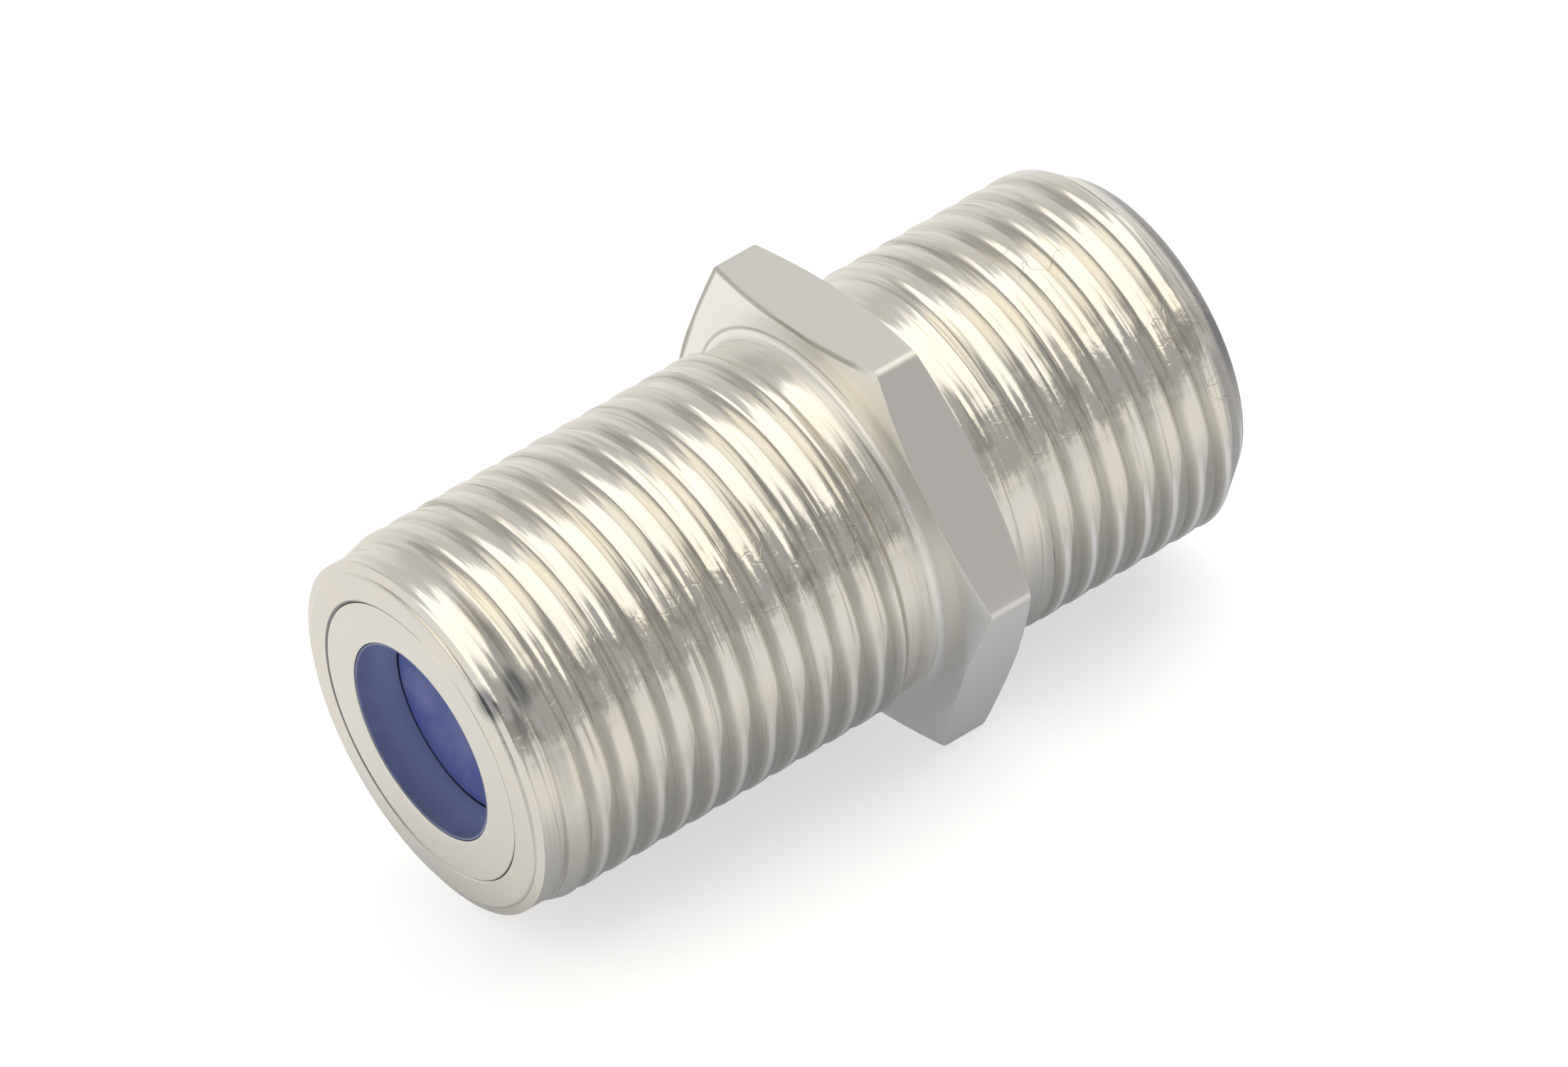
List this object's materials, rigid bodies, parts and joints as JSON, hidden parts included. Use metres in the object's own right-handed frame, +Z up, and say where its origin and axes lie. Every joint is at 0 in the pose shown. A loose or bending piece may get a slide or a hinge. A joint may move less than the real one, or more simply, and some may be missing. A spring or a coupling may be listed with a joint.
{
  "type": "coaxial f connector coupler",
  "caption": "Straight coaxial coupler with a threaded F socket at each end, a hex flange between them and a blue moulded insulator in each mouth.",
  "frame": {"origin": "on the floor under the middle of the length, the coupler lying on one flat of its hex", "axes": "+X along the bore from the front socket to the rear one, +Z up out of the top flat of the hex"},
  "size_m": [0.021, 0.0126, 0.0109],
  "materials": {
    "plated_body": "bright nickel plate over turned brass",
    "plated_bush": "bright nickel plate over turned brass, fine turned face",
    "blue_moulding": "smooth moulded blue plastic",
    "spring_contact": "tinned spring bronze"
  },
  "bodies": {
    "root": {"body": "plated_body", "front_bush": "plated_bush", "front_insulator": "blue_moulding", "rear_insulator": "blue_moulding", "centre_contact": "spring_contact"}
  },
  "joints": []
}
